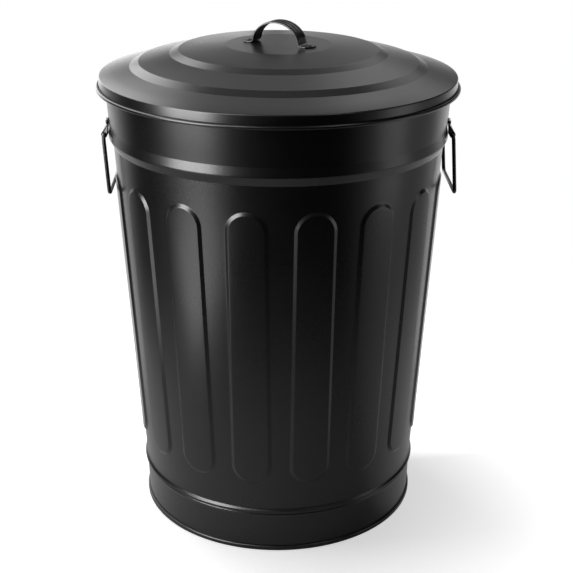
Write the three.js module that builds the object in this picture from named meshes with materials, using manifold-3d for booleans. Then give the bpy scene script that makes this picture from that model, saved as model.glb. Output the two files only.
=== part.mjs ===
// A round sheet steel trash can with a lift-off lid, in millimetres, +Z up.
// The origin is the centre of the circle that the can stands on, at floor level.
// The front faces -Y and the two bail handles are at -X and +X.

import * as THREE from 'three';
import { mergeVertices } from 'three/addons/utils/BufferGeometryUtils.js';
import Module from 'manifold-3d';

const wasm = await Module();
wasm.setup();

// ---------------------------------------------------------------- driving dimensions

const sheet = 0.7; // thickness of every pressed sheet
const seatGap = 0.3; // clearance between pieces that touch on the real can

// can wall: a cone, with panels, a swage and a band above it
const wallFootRadius = 185.6; // outside radius that the cone would have at floor level
const wallTaper = 0.0582; // growth of the radius for each mm of height
const canHeight = 602.5;
const panelCount = 16;
const panelWidth = 54;
const panelBottom = 105;
const panelHeadroom = 31; // plain wall between the panels and the swage
const panelRise = 1.7; // how far a panel stands out of the wall
const panelFlank = 6; // width of the sloping edge round a panel
const panelMargin = 14; // plain wall kept above and below the panels
const bandHeight = 61.5; // from the crease above the swage to the can's top edge
const swageUpper = 11; // from the crease above the swage down to its crest
const swageLower = 17; // from the crest down to the crease under the swage
const swageRise = 2.4; // how far the swage stands out of the band
const bandOffset = 3.1; // how far the band stands outside the cone
const lipTop = 68; // where the wall starts to flare
const lipBottom = 56;
const lipFlare = 3.0;
const seamWidth = 8; // lock seam at the back
const seamRise = 0.9;

// rolled top edge of the can
const rimWireRadius = 2.4;

// foot hoop and floor
const hoopFootRadius = 187.3; // outside, just above the rolled foot
const hoopTopRadius = 189.0; // outside, under the ridge
const hoopRidgeHeight = 50;
const hoopRidgeRise = 1.1;
const hoopRidgeCrown = 2.4; // height of the ridge's flat crown
const hoopRidgeFlank = 2.8;
const hoopTuck = 6; // how far the hoop runs up inside the wall, above the lip
const footRollDepth = 3.4; // the rolled foot is an upright oval, this deep and this high
const footRollHeight = 6.5;
const flangeDepth = 14; // turned-down edge of the floor
const floorCorner = 2;

// lid, outside radii and heights above the shoulder
const lidSlope = 0.27; // slope of the outer cone at the shoulder
const stepOneOuter = 191.3;
const stepOneInner = 179.8;
const stepOneRise = 5.9;
const stepTwoOuter = 140.9;
const stepTwoInner = 127.5;
const stepTwoRise = 4.3;
const middleConeRise = 9.5; // from the outer step to the inner step
const innerConeRise = 5.8; // from the inner step to the flat top
const lidTopRadius = 68.5;
const shoulderRound = 3;
const skirtClearance = 0.6; // between the skirt and the can's rolled edge
const skirtDrop = 14.5; // from the shoulder to the middle of the rolled edge
const shoulderInset = 1.4; // from the skirt's face in to where the cone would end
const lidWireRadius = 1.4;

// strap handle on the lid
const strapSpan = 66; // between the middles of the two legs
const strapHeight = 29.3; // top of the strap above the lid
const strapWidth = 24;
const strapSheet = 1.4;
const strapRib = 0.8;
const strapRibWidth = 3.6;
const strapRibPitch = 7.5;
const strapTab = 17.5; // length of a foot tab
const strapBend = 5;
const strapTurn = -28; // degrees about Z
const strapTabRound = 8;
const strapRivetInset = 7.3; // from a tab's tip to its rivet

// bail handles
const bailWireRadius = 2.5;
const bailWidth = 105; // between the middles of the legs
const bailDrop = 75.5; // from the hinge to the middle of the grip
const bailStandOff = 1.3; // from the swage's crest out to the hinge line
const bailHingeRise = 0.5; // from the swage's crest up to the hinge line
const bailGripBend = 6;
const bailEndBend = 6;
const bailPinOverhang = 1; // how far a turned-in pin runs past its ear
const bailLeanLeft = 3.2; // degrees in towards the wall, as the handle hangs
const bailLeanRight = -4.1; // minus is away from the wall

// ears that hold the bails
const earSheet = 1.1;
const earClearance = 0.4;
const earTopRise = 20.5; // from the hinge line to the top of an ear
const earTopWidth = 9;
const earTopRound = 2; // clipped corners at an ear's top
const earWidth = 17;
const earSlack = 0.5; // between an ear and the start of the wire's bend
const earRivetDrop = 5; // from the top of an ear to its rivet
const earTipThickness = 2.6; // the strap's two layers, closed together
const earTipLength = 9; // how far down from the top the two layers stay together
const earRivetSeat = 1.6; // metal left under a rivet's head
const earStock = 2; // extra metal behind an ear, until the wall's shape is cut out of it

// rivets and washers
const rivetShank = 1.8;
const rivetHead = 3.2;
const rivetDome = 1.5;
const lidRivetShank = 2.4;
const lidRivetHead = 4.6;
const lidRivetDome = 2.0;
const washerRadius = 7.5;
const washerThickness = 1.0;

// cuts and facets
const through = 10; // reach of a cut that goes right through a sheet
const columns = 48; // round the can and the lid, a multiple of the panel count
const rollSteps = 6; // along a rolled edge
const wireSides = 8;

// ---------------------------------------------------------------- finishes

function finish(colour, roughness, metalness) {
  return new THREE.MeshStandardMaterial({ color: colour, roughness, metalness });
}
const blackCoat = () => finish(0x151515, 0.42, 0.25);
const wireCoat = () => finish(0x101010, 0.35, 0.3);
const bareSteel = () => finish(0x8a8d8f, 0.4, 0.9);

// ---------------------------------------------------------------- geometry helpers

const radians = THREE.MathUtils.degToRad;
const at = (x, y) => new THREE.Vector2(x, y);

function signedVolume(geometry) {
  const p = geometry.attributes.position;
  const index = geometry.index;
  const a = new THREE.Vector3();
  const b = new THREE.Vector3();
  const c = new THREE.Vector3();
  let sum = 0;
  for (let i = 0; i < index.count; i += 3) {
    a.fromBufferAttribute(p, index.getX(i));
    b.fromBufferAttribute(p, index.getX(i + 1));
    c.fromBufferAttribute(p, index.getX(i + 2));
    sum += a.dot(b.cross(c)) / 6;
  }
  return sum;
}

// shared vertices merged, collapsed triangles dropped, faces pointing out
function closed(geometry) {
  const bare = new THREE.BufferGeometry();
  bare.setAttribute('position', geometry.attributes.position.clone());
  if (geometry.index) bare.setIndex(geometry.index.clone());
  const merged = mergeVertices(bare, 1e-4);
  const kept = [];
  const old = merged.index;
  for (let i = 0; i < old.count; i += 3) {
    const [a, b, c] = [old.getX(i), old.getX(i + 1), old.getX(i + 2)];
    if (a !== b && b !== c && c !== a) kept.push(a, b, c);
  }
  merged.setIndex(kept);
  if (signedVolume(merged) < 0) {
    for (let i = 0; i < kept.length; i += 3) [kept[i], kept[i + 1]] = [kept[i + 1], kept[i]];
    merged.setIndex(kept);
  }
  return merged;
}

function solidOf(geometry) {
  const clean = closed(geometry);
  return new wasm.Manifold(new wasm.Mesh({
    numProp: 3,
    vertProperties: new Float32Array(clean.attributes.position.array),
    triVerts: new Uint32Array(clean.index.array),
  }));
}

function geometryOf(solid) {
  const mesh = solid.getMesh();
  const geometry = new THREE.BufferGeometry();
  geometry.setAttribute('position', new THREE.BufferAttribute(mesh.vertProperties, 3));
  geometry.setIndex(new THREE.BufferAttribute(mesh.triVerts, 1));
  return geometry;
}

// a profile of (radius, height) points turned about Z, with one facet edge at the front
function turned(profile, sides = columns) {
  return closed(new THREE.LatheGeometry(profile, sides).rotateX(Math.PI / 2));
}

// points moved sideways by a distance, to the left of the line's direction
function beside(line, distance) {
  return line.map((point, i) => {
    const before = line[Math.max(i - 1, 0)];
    const after = line[Math.min(i + 1, line.length - 1)];
    const into = point.clone().sub(before).normalize();
    const out = after.clone().sub(point).normalize();
    if (i === 0) into.copy(out);
    if (i === line.length - 1) out.copy(into);
    const normal = at(-into.y - out.y, into.x + out.x).normalize();
    const stretch = 1 / Math.max(normal.dot(at(-into.y, into.x)), 0.5);
    return point.clone().addScaledVector(normal, distance * stretch);
  });
}

// the closed outline of a sheet that follows a middle line
function sheetOutline(line, thickness = sheet) {
  const left = beside(line, thickness / 2);
  const right = beside(line, -thickness / 2);
  return [...left, ...right.reverse()];
}

// points of an arc in a profile, from one angle to another, in degrees
function arc(centre, radius, from, to, steps) {
  return Array.from({ length: steps + 1 }, (_, i) => {
    const angle = radians(from + ((to - from) * i) / steps);
    return at(centre.x + radius * Math.cos(angle), centre.y + radius * Math.sin(angle));
  });
}

// the outline with its first point repeated, as a profile that closes on itself
const ring = (outline) => [...outline, outline[0].clone()];

// a path of straight steps between bends, so that a straight run takes one step
class BentPath extends THREE.Curve {
  constructor(points) {
    super();
    this.points = points;
  }

  getPoint(t, target = new THREE.Vector3()) {
    const place = t * (this.points.length - 1);
    const i = Math.min(Math.floor(place), this.points.length - 2);
    return target.lerpVectors(this.points[i], this.points[i + 1], place - i);
  }

  getUtoTmapping(u) {
    return u;
  }
}

function swept(section, points) {
  const steps = points.length - 1;
  return closed(new THREE.ExtrudeGeometry(section, { steps, extrudePath: new BentPath(points) }));
}

// points round the bend at a corner between two straight runs
function bend(before, corner, after, radius, steps) {
  const into = before.clone().sub(corner).normalize();
  const out = after.clone().sub(corner).normalize();
  const half = into.angleTo(out) / 2;
  const reach = radius / Math.tan(half);
  const centre = corner.clone().addScaledVector(
    into.clone().add(out).normalize(), radius / Math.sin(half));
  const from = corner.clone().addScaledVector(into, reach).sub(centre);
  const to = corner.clone().addScaledVector(out, reach).sub(centre);
  const axis = from.clone().cross(to).normalize();
  const sweep = from.angleTo(to);
  return Array.from({ length: steps + 1 }, (_, i) =>
    from.clone().applyAxisAngle(axis, (sweep * i) / steps).add(centre));
}

function circleShape(radius, sides) {
  const turn = Math.PI / sides;
  return new THREE.Shape(Array.from({ length: sides }, (_, i) => {
    const angle = turn + (2 * Math.PI * i) / sides;
    return at(radius * Math.cos(angle), radius * Math.sin(angle));
  }));
}

// ---------------------------------------------------------------- the wall's profile

// heights from the can's top edge down, so that the swage and the handles stay under it
const swageTop = canHeight - bandHeight;
const swageCrest = swageTop - swageUpper;
const swageBottom = swageCrest - swageLower;
const panelTop = swageBottom - panelHeadroom;

const coneRadius = (z) => wallFootRadius + wallTaper * z;
const bandRadius = (z) => coneRadius(z) + bandOffset;

// rolled top edge: the sheet turns outwards round the wire and tucks in under it
const rimRoll = rimWireRadius + seatGap + sheet / 2; // to the middle of the sheet
const rimCentreHeight = canHeight - rimRoll - sheet / 2;
const rimCentre = at(bandRadius(rimCentreHeight) - sheet / 2 + rimRoll, rimCentreHeight);

// outside of the wall under the top roll, from the top down to the main wall
function swageRadius(z) {
  if (z >= swageTop) return bandRadius(z);
  if (z >= swageCrest) {
    const t = (swageTop - z) / (swageTop - swageCrest);
    return bandRadius(z) + swageRise * Math.sin((t * Math.PI) / 2);
  }
  const t = (z - swageBottom) / (swageCrest - swageBottom);
  return coneRadius(z) + (bandOffset + swageRise) * Math.sin((t * Math.PI) / 2);
}

const swageHeights = [
  swageTop,
  swageTop - (swageTop - swageCrest) * 0.4,
  swageCrest,
  swageBottom + (swageCrest - swageBottom) * 0.4,
  swageBottom,
];

// the line that the bails turn about, just outside the swage's crest
const bailHingeHeight = swageCrest + bailHingeRise;
const bailHingeRadius = swageRadius(swageCrest) + bailStandOff;
const earTopHeight = bailHingeHeight + earTopRise;
const earRivetHeight = earTopHeight - earRivetDrop;

// ---------------------------------------------------------------- can wall

const pitch = (2 * Math.PI) / panelCount;
const sectorColumns = columns / panelCount;
const panelRegionTop = panelTop + panelMargin;
const panelRegionBottom = panelBottom - panelMargin;
const sideSteps = 2; // facets on a sector's side beside a panel's round end

// One sheet has an outer and an inner skin of matching vertices. Every vertex goes in twice.
class SheetBuilder {
  constructor() {
    this.positions = [];
    this.triangles = [];
    this.byPlace = new Map();
  }

  // a vertex of one skin, shared with the neighbours that reach the same place
  vertex(skin, angle, radius, z) {
    const x = radius * Math.cos(angle);
    const y = radius * Math.sin(angle);
    const key = [skin, x, y, z].map((v, i) => (i ? v.toFixed(3) : v)).join();
    if (!this.byPlace.has(key)) {
      this.byPlace.set(key, this.positions.length / 3);
      this.positions.push(x, y, z);
    }
    return this.byPlace.get(key);
  }

  triangle(a, b, c) {
    if (a !== b && b !== c && c !== a) this.triangles.push(a, b, c);
  }

  quad(a, b, c, d) {
    this.triangle(a, b, c);
    this.triangle(a, c, d);
  }

  geometry() {
    const geometry = new THREE.BufferGeometry();
    geometry.setAttribute('position', new THREE.Float32BufferAttribute(this.positions, 3));
    geometry.setIndex(this.triangles);
    return closed(geometry);
  }
}

// the round end of a panel, and the points of the sector's edge that face it
function panelEnd(up) {
  const middle = up ? panelTop - panelWidth / 2 : panelBottom + panelWidth / 2;
  const edge = up ? panelRegionTop : panelRegionBottom;
  const halfPitch = pitch / 2;
  const points = [];
  for (let i = 0; i < sideSteps; i++) {
    points.push({ side: halfPitch, z: middle + ((edge - middle) * i) / sideSteps });
  }
  for (let i = 0; i <= sectorColumns; i++) {
    points.push({ side: halfPitch - (pitch * i) / sectorColumns, z: edge });
  }
  for (let i = sideSteps - 1; i >= 0; i--) {
    points.push({ side: -halfPitch, z: middle + ((edge - middle) * i) / sideSteps });
  }
  return points.map(({ side, z }) => {
    const across = side * coneRadius(middle);
    return { side, z, middle, facing: Math.atan2(z - middle, across) };
  });
}

// one panel's sector of one skin: the panel's top, its flank, and the plain wall round it
function panelSector(sheetBuilder, skin, centre, depth) {
  const edge = [...panelEnd(true), ...panelEnd(false).reverse()];
  const loop = (radius, rise) => edge.map(({ middle, facing }) => {
    const z = middle + radius * Math.sin(facing);
    const cone = coneRadius(z);
    const side = (radius * Math.cos(facing)) / cone;
    return sheetBuilder.vertex(skin, centre + side, cone + rise - depth, z);
  });
  const border = edge.map(({ side, z }) =>
    sheetBuilder.vertex(skin, centre + side, coneRadius(z) - depth, z));
  const foot = loop(panelWidth / 2, 0);
  const shoulder = loop(panelWidth / 2 - panelFlank, panelRise);
  const spine = loop(0, panelRise);
  [[border, foot], [foot, shoulder], [shoulder, spine]].forEach(([outside, inside]) => {
    outside.forEach((vertex, i) => {
      const next = (i + 1) % outside.length;
      if (skin) sheetBuilder.quad(vertex, inside[i], inside[next], outside[next]);
      else sheetBuilder.quad(vertex, outside[next], inside[next], inside[i]);
    });
  });
}

function makeCanWall() {
  const flareStep = (t) => at(
    coneRadius(lipTop + (lipBottom - lipTop) * t) + lipFlare * t * t,
    lipTop + (lipBottom - lipTop) * t);
  const shift = (point) => at(point.x - sheet / 2, point.y);
  const upper = [
    ...arc(rimCentre, rimRoll, -150, 180, rollSteps + 1),
    ...swageHeights.map((z) => shift(at(swageRadius(z), z))),
    shift(at(coneRadius(panelRegionTop), panelRegionTop)),
  ];
  const lower = [
    shift(at(coneRadius(panelRegionBottom), panelRegionBottom)),
    ...[0, 0.5, 1].map((t) => shift(flareStep(t))),
  ];
  const sheetBuilder = new SheetBuilder();
  const ringAt = (skin, point) => Array.from({ length: columns }, (_, i) =>
    sheetBuilder.vertex(skin, -Math.PI / 2 + (2 * Math.PI * i) / columns, point.x, point.y));
  const strip = (high, low, flip) => high.forEach((vertex, i) => {
    const next = (i + 1) % columns;
    if (flip) sheetBuilder.quad(vertex, high[next], low[next], low[i]);
    else sheetBuilder.quad(vertex, low[i], low[next], high[next]);
  });
  // the cone's sheet is offset level in the panel region, so its end rows are too
  const skins = [0, 1].map((skin) => {
    const depth = skin ? sheet : 0;
    const offset = (line) => beside(line, skin ? -sheet / 2 : sheet / 2);
    const rows = [offset(upper), offset(lower)];
    rows[0][upper.length - 1] = at(coneRadius(panelRegionTop) - depth, panelRegionTop);
    rows[1][0] = at(coneRadius(panelRegionBottom) - depth, panelRegionBottom);
    const rings = rows.map((line) => line.map((point) => ringAt(skin, point)));
    rings.forEach((group) => group.slice(1).forEach((low, i) => strip(group[i], low, skin)));
    for (let k = 0; k < panelCount; k++) {
      panelSector(sheetBuilder, skin, -Math.PI / 2 + pitch * (k + 0.5), depth);
    }
    return rings;
  });
  strip(skins[1][0][0], skins[0][0][0], 0);
  strip(skins[1][1].at(-1), skins[0][1].at(-1), 1);
  return sheetBuilder.geometry();
}

// the folded seam that joins the sheet's two edges, down the gap between panels at the back
function makeSeam() {
  const low = lipTop;
  const high = swageBottom;
  const height = high - low;
  const run = wallTaper * height;
  const bite = sheet / 2;
  const outline = new THREE.Shape([
    at(-bite, 0), at(seamRise, 0), at(seamRise + run, height), at(run - bite, height),
  ]);
  const geometry = new THREE.ExtrudeGeometry(outline, { depth: seamWidth, bevelEnabled: false });
  geometry.translate(0, 0, -seamWidth / 2); // x out of the wall, y up, z across
  geometry.rotateX(Math.PI / 2); // y becomes z
  geometry.rotateZ(Math.PI / 2);
  geometry.translate(0, coneRadius(low), low);
  return geometry;
}

// ---------------------------------------------------------------- hoop and floor

function hoopLine() {
  const inside = (z) => coneRadius(z) - sheet - seatGap - sheet / 2;
  const rollMiddle = (footRollDepth - sheet) / 2;
  const corner = sheet / 2 / Math.cos(radians(22.5)); // the lowest facet corner is at z = 0
  const low = at(hoopFootRadius - sheet / 2 + rollMiddle, rollMiddle + corner);
  const high = at(low.x, footRollHeight - low.y);
  return [
    at(inside(lipTop + hoopTuck), lipTop + hoopTuck),
    at(inside(lipBottom), lipBottom),
    at(hoopTopRadius - sheet / 2 + hoopRidgeRise, hoopRidgeHeight + hoopRidgeCrown / 2),
    at(hoopTopRadius - sheet / 2 + hoopRidgeRise, hoopRidgeHeight - hoopRidgeCrown / 2),
    at(hoopTopRadius - sheet / 2, hoopRidgeHeight - hoopRidgeCrown / 2 - hoopRidgeFlank),
    ...arc(low, rollMiddle, 180, 360, 4),
    ...arc(high, rollMiddle, 0, 120, 2),
  ];
}

function makeHoop() {
  return turned(ring(sheetOutline(hoopLine())));
}

const floorHeight = lipTop + hoopTuck;
const panRadius = (z) => coneRadius(z) - 2 * (sheet + seatGap);

function makeBottomPan() {
  const line = [
    at(0, floorHeight - sheet / 2),
    at(panRadius(floorHeight) - sheet / 2 - floorCorner, floorHeight - sheet / 2),
    at(panRadius(floorHeight - floorCorner) - sheet / 2, floorHeight - floorCorner),
    at(panRadius(floorHeight - flangeDepth) - sheet / 2, floorHeight - flangeDepth),
  ];
  return turned(sheetOutline(line));
}

// ---------------------------------------------------------------- rim wires

function wireRing(centre, radius, sides) {
  return turned(ring(arc(centre, radius, 0, 360, sides).slice(0, -1)));
}

// ---------------------------------------------------------------- lid

// the lid's skirt goes round the can's roll, and its underside rests on it
const skirtRadius = rimCentre.x + rimRoll + sheet / 2 + skirtClearance + sheet;
const lidShoulderRadius = skirtRadius - shoulderInset;
const lidAngle = Math.atan(lidSlope);
const lidShoulderHeight = (() => {
  const touch = (rimRoll + sheet / 2 + seatGap + sheet) / Math.cos(lidAngle);
  return rimCentre.y + touch - (lidShoulderRadius - rimCentre.x) * lidSlope;
})();
const lidTopHeight = lidShoulderHeight + (lidShoulderRadius - stepOneOuter) * lidSlope
  + stepOneRise + middleConeRise + stepTwoRise + innerConeRise;
const lidRoll = lidWireRadius + seatGap + sheet / 2;
const lidRollCentre = at(skirtRadius - sheet / 2 + lidRoll, lidShoulderHeight - skirtDrop);

function lidLine() {
  const top = lidTopHeight - sheet / 2;
  const foot = lidShoulderHeight - sheet / 2;
  const outerRise = (lidShoulderRadius - stepOneOuter) * lidSlope;
  // the round is tangent to the cone above it and to the skirt
  const round = shoulderRound - sheet / 2;
  const inset = lidShoulderRadius - (skirtRadius - shoulderRound);
  const drop = (round - inset * Math.sin(lidAngle)) / Math.cos(lidAngle);
  const roundCentre = at(skirtRadius - shoulderRound, foot - drop);
  return [
    at(0, top),
    at(lidTopRadius, top),
    at(stepTwoInner, top - innerConeRise),
    at(stepTwoOuter, top - innerConeRise - stepTwoRise),
    at(stepOneInner, foot + outerRise + stepOneRise),
    at(stepOneOuter, foot + outerRise),
    ...arc(roundCentre, round, 90 - THREE.MathUtils.radToDeg(lidAngle), 0, 2),
    at(skirtRadius - sheet / 2, lidRollCentre.y + lidRoll),
    ...arc(lidRollCentre, lidRoll, 180, 480, rollSteps),
  ];
}

function makeLidShell() {
  return turned(sheetOutline(lidLine()));
}

// ---------------------------------------------------------------- strap handle

const strapFloor = lidTopHeight + seatGap + strapSheet / 2; // middle of the strap on its tabs

// the sweep lays a section's x along -Z and its y along Y where a path starts along +X
function strapSection() {
  const half = strapWidth / 2;
  const points = [at(-half, -strapSheet / 2)];
  points.push(at(half, -strapSheet / 2), at(half, strapSheet / 2));
  [strapRibPitch, 0, -strapRibPitch].forEach((middle) => {
    points.push(at(middle + strapRibWidth / 2, strapSheet / 2));
    points.push(at(middle + strapRibWidth / 5, strapSheet / 2 + strapRib));
    points.push(at(middle - strapRibWidth / 5, strapSheet / 2 + strapRib));
    points.push(at(middle - strapRibWidth / 2, strapSheet / 2));
  });
  points.push(at(-half, strapSheet / 2));
  return new THREE.Shape(points.map(({ x, y }) => at(-y, x)));
}

function strapPoints() {
  const legs = strapSpan / 2;
  const top = strapHeight - strapSheet - seatGap;
  const arch = Array.from({ length: 13 }, (_, i) => {
    const angle = Math.PI * (1 - i / 12);
    const x = legs * Math.cos(angle);
    return new THREE.Vector3(x, 0, strapFloor + top * Math.sin(angle));
  });
  const tip = new THREE.Vector3(-legs - strapTab, 0, strapFloor);
  const left = bend(tip, arch[0], arch[1], strapBend, 3);
  const mirrored = left.map((p) => new THREE.Vector3(-p.x, 0, p.z)).reverse();
  const end = new THREE.Vector3(legs + strapTab, 0, strapFloor);
  const between = arch.slice(1, -1).filter((p) => p.z > left.at(-1).z + 0.5);
  return [tip, ...left, ...between, ...mirrored, end];
}

const strapRivetX = strapSpan / 2 + strapTab - strapRivetInset;

function rivetHole(radius, length) {
  return solidOf(new THREE.CylinderGeometry(radius, radius, length, 12).rotateX(Math.PI / 2));
}

function makeStrap() {
  let solid = solidOf(swept(strapSection(), strapPoints()));
  const plan = new THREE.Shape();
  const long = strapSpan / 2 + strapTab;
  const half = strapWidth / 2 + 1;
  const round = strapTabRound;
  plan.moveTo(-long + round, -half).lineTo(long - round, -half);
  plan.lineTo(long, -half + round).lineTo(long, half - round).lineTo(long - round, half);
  plan.lineTo(-long + round, half).lineTo(-long, half - round).lineTo(-long, -half + round);
  const outline = new THREE.ExtrudeGeometry(plan, { depth: 2 * strapHeight, bevelEnabled: false });
  solid = solid.intersect(solidOf(outline.translate(0, 0, lidTopHeight - 1)));
  const seatRadius = lidRivetHead + 2 * seatGap;
  const seat = new THREE.CylinderGeometry(seatRadius, seatRadius, through, 16);
  seat.rotateX(Math.PI / 2);
  [-1, 1].forEach((end) => {
    const x = end * strapRivetX;
    const flat = seat.clone().translate(x, 0, strapFloor + strapSheet / 2 + through / 2);
    const hole = rivetHole(lidRivetShank + seatGap, through).translate([x, 0, strapFloor]);
    solid = solid.subtract(solidOf(flat)).subtract(hole);
  });
  return geometryOf(solid);
}

// ---------------------------------------------------------------- bails

// from the middle of a handle to the middle of an ear
const earOffset = bailWidth / 2 - bailEndBend - earSlack - earWidth / 2;

function makeBail() {
  const half = bailWidth / 2;
  const end = earOffset - earWidth / 2 - bailPinOverhang;
  const place = (y, z) => new THREE.Vector3(0, y, z);
  const corners = [place(-end, 0), place(-half, 0), place(-half, -bailDrop),
    place(half, -bailDrop), place(half, 0), place(end, 0)];
  const radii = [0, bailEndBend, bailGripBend, bailGripBend, bailEndBend, 0];
  const points = corners.flatMap((corner, i) => (radii[i]
    ? bend(corners[i - 1], corner, corners[i + 1], radii[i], 4)
    : [corner]));
  return swept(circleShape(bailWireRadius, wireSides), points);
}

// ---------------------------------------------------------------- ears

// a strap folded round the bail's pin, in the plane across the pin: x out of the wall, y up
function earOutline(wallX) {
  const hole = bailWireRadius + earClearance;
  const outer = hole + earSheet;
  const seat = wallX - bailHingeRadius + seatGap;
  const back = seat - seatGap - earStock;
  const tipFace = seat + earTipThickness;
  const meet = earTopRise - earTipLength;
  const lean = THREE.MathUtils.radToDeg(Math.atan2(outer - tipFace, meet));
  const outside = new THREE.Shape([
    at(back, -outer), ...arc(at(0, 0), outer, -90, lean + 12, 5),
    at(tipFace, meet), at(tipFace, earTopRise), at(back, earTopRise),
  ]);
  const apex = at(seat + earTipThickness / 2, meet - earSheet);
  outside.holes.push(new THREE.Path([...arc(at(0, 0), hole, -180, 20, 7), apex].reverse()));
  return outside;
}

// the space that the wall fills, with the clearance that an ear keeps from it
function wallSpace() {
  const heights = [earTopHeight + 8, ...swageHeights];
  const line = heights.map((z) => at(swageRadius(z) + seatGap, z));
  const top = heights[0];
  const bottom = heights.at(-1);
  return solidOf(turned([at(0, top), ...line, at(0, bottom)]));
}

function earCutter(y) {
  const half = earWidth / 2;
  const narrow = earTopWidth / 2;
  const reach = earWidth; // enough to go through an ear either way
  const low = bailHingeHeight - reach;
  const wide = bailHingeHeight + bailWireRadius;
  const plan = new THREE.Shape([
    at(-half, low), at(half, low), at(half, wide),
    at(narrow, earTopHeight - earTopRound), at(narrow - earTopRound, earTopHeight),
    at(-narrow + earTopRound, earTopHeight), at(-narrow, earTopHeight - earTopRound),
    at(-half, wide),
  ]);
  const prism = new THREE.ExtrudeGeometry(plan, { depth: 2 * reach, bevelEnabled: false });
  prism.rotateX(Math.PI / 2); // x across, height up, depth along -y
  prism.rotateZ(Math.PI / 2); // across becomes y, depth becomes x
  return solidOf(prism.translate(bailHingeRadius - reach, y, 0));
}

// where an ear's rivet goes through the band's flat facet, and the way that it points
function rivetPlace(y) {
  const step = (2 * Math.PI) / columns;
  const radius = bandRadius(earRivetHeight);
  const facet = Math.sign(y) * (Math.floor(Math.asin(Math.abs(y) / radius) / step) + 0.5) * step;
  const distance = radius * Math.cos(step / 2);
  const x = (distance - y * Math.sin(facet)) / Math.cos(facet);
  const out = new THREE.Vector3(Math.cos(facet), Math.sin(facet), -wallTaper).normalize();
  return { point: new THREE.Vector3(x, y, earRivetHeight), out };
}

// a cylinder along a rivet's line, between two distances from the outside of the band
function rivetSpace({ point, out }, radius, from, to) {
  const space = new THREE.CylinderGeometry(radius, radius, to - from, 12);
  space.translate(0, (from + to) / 2, 0);
  space.applyQuaternion(new THREE.Quaternion().setFromUnitVectors(new THREE.Vector3(0, 1, 0), out));
  return solidOf(space.translate(point.x, point.y, point.z));
}

function makeEar(y) {
  const place = rivetPlace(y);
  const wallX = place.point.x;
  const geometry = new THREE.ExtrudeGeometry(
    earOutline(wallX), { depth: earWidth, bevelEnabled: false });
  geometry.rotateX(Math.PI / 2); // depth now runs along -y
  geometry.translate(bailHingeRadius, y + earWidth / 2, bailHingeHeight);
  const solid = solidOf(geometry).intersect(earCutter(y)).subtract(wallSpace())
    .subtract(rivetSpace(place, rivetShank + seatGap, -through, through))
    .subtract(rivetSpace(place, rivetHead + seatGap, seatGap + earRivetSeat, through));
  return geometryOf(solid);
}

// ---------------------------------------------------------------- rivets and washers

// a round-head rivet along +Z: the head sits at z = grip, and its clinched end under z = 0
function makeRivet(shank, head, dome, grip) {
  const low = -seatGap;
  const high = grip + seatGap;
  const headArc = [0.3, 0.7].map((t) => at(
    head * Math.cos((t * Math.PI) / 2), high + 0.25 * dome + 0.75 * dome * Math.sin((t * Math.PI) / 2)));
  return turned([
    at(0, low - dome * 0.8), at(shank * 1.2, low - dome * 0.7), at(shank * 1.6, low - dome * 0.3),
    at(shank * 1.6, low), at(shank, low), at(shank, high), at(head, high),
    ...headArc, at(0, high + dome),
  ], 8);
}

function makeWasher() {
  const hole = lidRivetShank + seatGap;
  return turned(ring([at(hole, 0), at(washerRadius, 0), at(washerRadius, washerThickness),
    at(hole, washerThickness)]), 20);
}

// ---------------------------------------------------------------- assembly

const can = new THREE.Group();

function addPiece(parent, name, geometry, material) {
  const mesh = new THREE.Mesh(geometry, material);
  mesh.name = name;
  parent.add(mesh);
  return mesh;
}

// y is in the frame of the handle's own side, which is turned half round for the left one
const ears = [
  { name: 'left_front', side: -1, y: earOffset },
  { name: 'left_back', side: -1, y: -earOffset },
  { name: 'right_front', side: 1, y: -earOffset },
  { name: 'right_back', side: 1, y: earOffset },
];

// can wall, with the back seam joined on and the rivet holes cut
{
  let wall = solidOf(makeCanWall()).add(solidOf(makeSeam()));
  ears.forEach(({ side, y }) => {
    const hole = rivetSpace(rivetPlace(y), rivetShank + seatGap, -through, through);
    wall = wall.subtract(hole.rotate([0, 0, side < 0 ? 180 : 0]));
  });
  addPiece(can, 'can_wall', geometryOf(wall), blackCoat());
}
addPiece(can, 'can_rim_wire', wireRing(rimCentre, rimWireRadius, 6), bareSteel());
addPiece(can, 'base_hoop', makeHoop(), blackCoat());
addPiece(can, 'bottom_pan', makeBottomPan(), blackCoat());

// ears and their rivets: each side is one group, and the left one is turned half round
const sides = { '-1': new THREE.Group(), 1: new THREE.Group() };
sides['-1'].rotation.z = Math.PI;
can.add(sides['-1'], sides[1]);
ears.forEach(({ name, side, y }) => {
  addPiece(sides[side], `ear_${name}`, makeEar(y), blackCoat());
  const { point, out } = rivetPlace(y);
  const grip = sheet + seatGap + earRivetSeat;
  const rivet = addPiece(sides[side], `ear_rivet_${name}`,
    makeRivet(rivetShank, rivetHead, rivetDome, grip), blackCoat());
  rivet.position.copy(point).addScaledVector(out, -sheet);
  rivet.quaternion.setFromUnitVectors(new THREE.Vector3(0, 0, 1), out);
});

// bails, as they hang: the pins are on the hinge line and the grip leans a little
[['bail_left', -1, bailLeanLeft], ['bail_right', 1, bailLeanRight]].forEach(([name, side, lean]) => {
  const bail = addPiece(sides[side], name, makeBail(), wireCoat());
  bail.position.set(bailHingeRadius, 0, bailHingeHeight);
  bail.rotation.y = radians(lean);
});

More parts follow.
